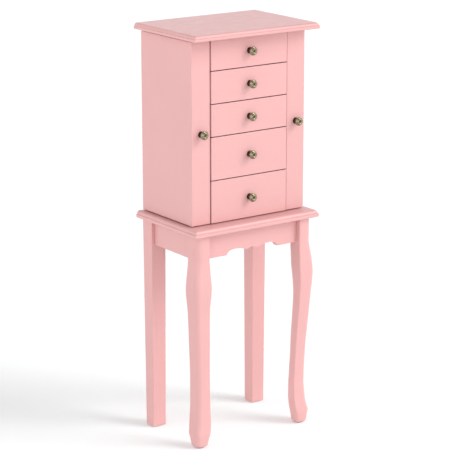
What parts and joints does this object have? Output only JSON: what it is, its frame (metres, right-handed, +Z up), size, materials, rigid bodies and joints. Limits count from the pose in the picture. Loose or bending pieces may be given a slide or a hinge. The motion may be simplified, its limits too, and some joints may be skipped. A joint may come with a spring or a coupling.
{
  "type": "jewelry armoire",
  "caption": "Free-standing jewelry armoire on curved legs, with stacked drawers, swing-out side doors for necklaces and a flip-up mirrored lid over a ring tray.",
  "frame": {"origin": "on the floor, at the centre of the footprint of the whole object", "axes": "+Z up, +Y towards the back with the hinges, so the drawers face -Y and +X is to the right of someone facing them"},
  "size_m": [0.328, 0.2312, 0.9025],
  "materials": {
    "painted_wood": "satin paint",
    "bare_wood": "planed",
    "antique_brass": "aged",
    "hook_brass": "polished",
    "hinge_steel": "nickel plated",
    "velvet": "short pile",
    "black_glide": "matte",
    "catch_plastic": "matte",
    "mirror_glass": "polished"
  },
  "bodies": {
    "cabinet": {"stand_top": "painted_wood", "stand_screws": "hinge_steel", "front_apron": "painted_wood", "rear_apron": "painted_wood", "left_apron": "painted_wood", "right_apron": "painted_wood", "front_left_leg": "painted_wood", "front_right_leg": "painted_wood", "rear_left_leg": "painted_wood", "rear_right_leg": "painted_wood", "corner_braces": "bare_wood", "foot_glides": "black_glide", "cabinet_base": "painted_wood", "cabinet_back": "painted_wood", "left_partition": "painted_wood", "right_partition": "painted_wood", "drawer_runners": "bare_wood", "tray_floor": "painted_wood", "tray_walls": "painted_wood", "tray_lining": "velvet", "tray_dividers": "painted_wood", "ring_rolls": "velvet", "door_catches": "catch_plastic", "cabinet_hinge_leaves": "hinge_steel"},
    "lid": {"lid_panel": "painted_wood", "lid_mirror": "mirror_glass", "mirror_frame": "painted_wood", "lid_hinge_leaves": "hinge_steel"},
    "left_door": {"left_door_panel": "painted_wood", "left_door_stile": "painted_wood", "left_door_inner_boards": "painted_wood", "left_door_necklace_hooks": "hook_brass", "left_door_knob": "antique_brass", "left_door_hinge_leaves": "hinge_steel"},
    "right_door": {"right_door_panel": "painted_wood", "right_door_stile": "painted_wood", "right_door_inner_boards": "painted_wood", "right_door_necklace_hooks": "hook_brass", "right_door_knob": "antique_brass", "right_door_hinge_leaves": "hinge_steel"},
    "drawer_1": {"drawer_1_front": "painted_wood", "drawer_1_box": "painted_wood", "drawer_1_lining": "velvet", "drawer_1_knob": "antique_brass"},
    "drawer_2": {"drawer_2_front": "painted_wood", "drawer_2_box": "painted_wood", "drawer_2_lining": "velvet", "drawer_2_knob": "antique_brass"},
    "drawer_3": {"drawer_3_front": "painted_wood", "drawer_3_box": "painted_wood", "drawer_3_lining": "velvet", "drawer_3_knob": "antique_brass"},
    "drawer_4": {"drawer_4_front": "painted_wood", "drawer_4_box": "painted_wood", "drawer_4_lining": "velvet", "drawer_4_knob": "antique_brass"},
    "drawer_5": {"drawer_5_front": "painted_wood", "drawer_5_box": "painted_wood", "drawer_5_lining": "velvet", "drawer_5_knob": "antique_brass"}
  },
  "joints": [
    {"name": "drawer_1_slide", "type": "slide", "parent": "cabinet", "child": "drawer_1", "axis": [0, -1, 0], "range_m": [0, 0.125]},
    {"name": "drawer_2_slide", "type": "slide", "parent": "cabinet", "child": "drawer_2", "axis": [0, -1, 0], "range_m": [0, 0.125]},
    {"name": "drawer_3_slide", "type": "slide", "parent": "cabinet", "child": "drawer_3", "axis": [0, -1, 0], "range_m": [0, 0.125]},
    {"name": "drawer_4_slide", "type": "slide", "parent": "cabinet", "child": "drawer_4", "axis": [0, -1, 0], "range_m": [0, 0.125]},
    {"name": "drawer_5_slide", "type": "slide", "parent": "cabinet", "child": "drawer_5", "axis": [0, -1, 0], "range_m": [0, 0.125]},
    {"name": "left_door_hinge", "type": "hinge", "parent": "cabinet", "child": "left_door", "pos_m": [-0.1345, 0.11315, 0.689], "axis": [0, 0, -1], "range_deg": [0, 100]},
    {"name": "right_door_hinge", "type": "hinge", "parent": "cabinet", "child": "right_door", "pos_m": [0.1345, 0.11315, 0.689], "axis": [0, 0, 1], "range_deg": [0, 100]},
    {"name": "lid_hinge", "type": "hinge", "parent": "cabinet", "child": "lid", "pos_m": [0, 0.11315, 0.8867], "axis": [-1, 0, 0], "range_deg": [0, 95]}
  ]
}
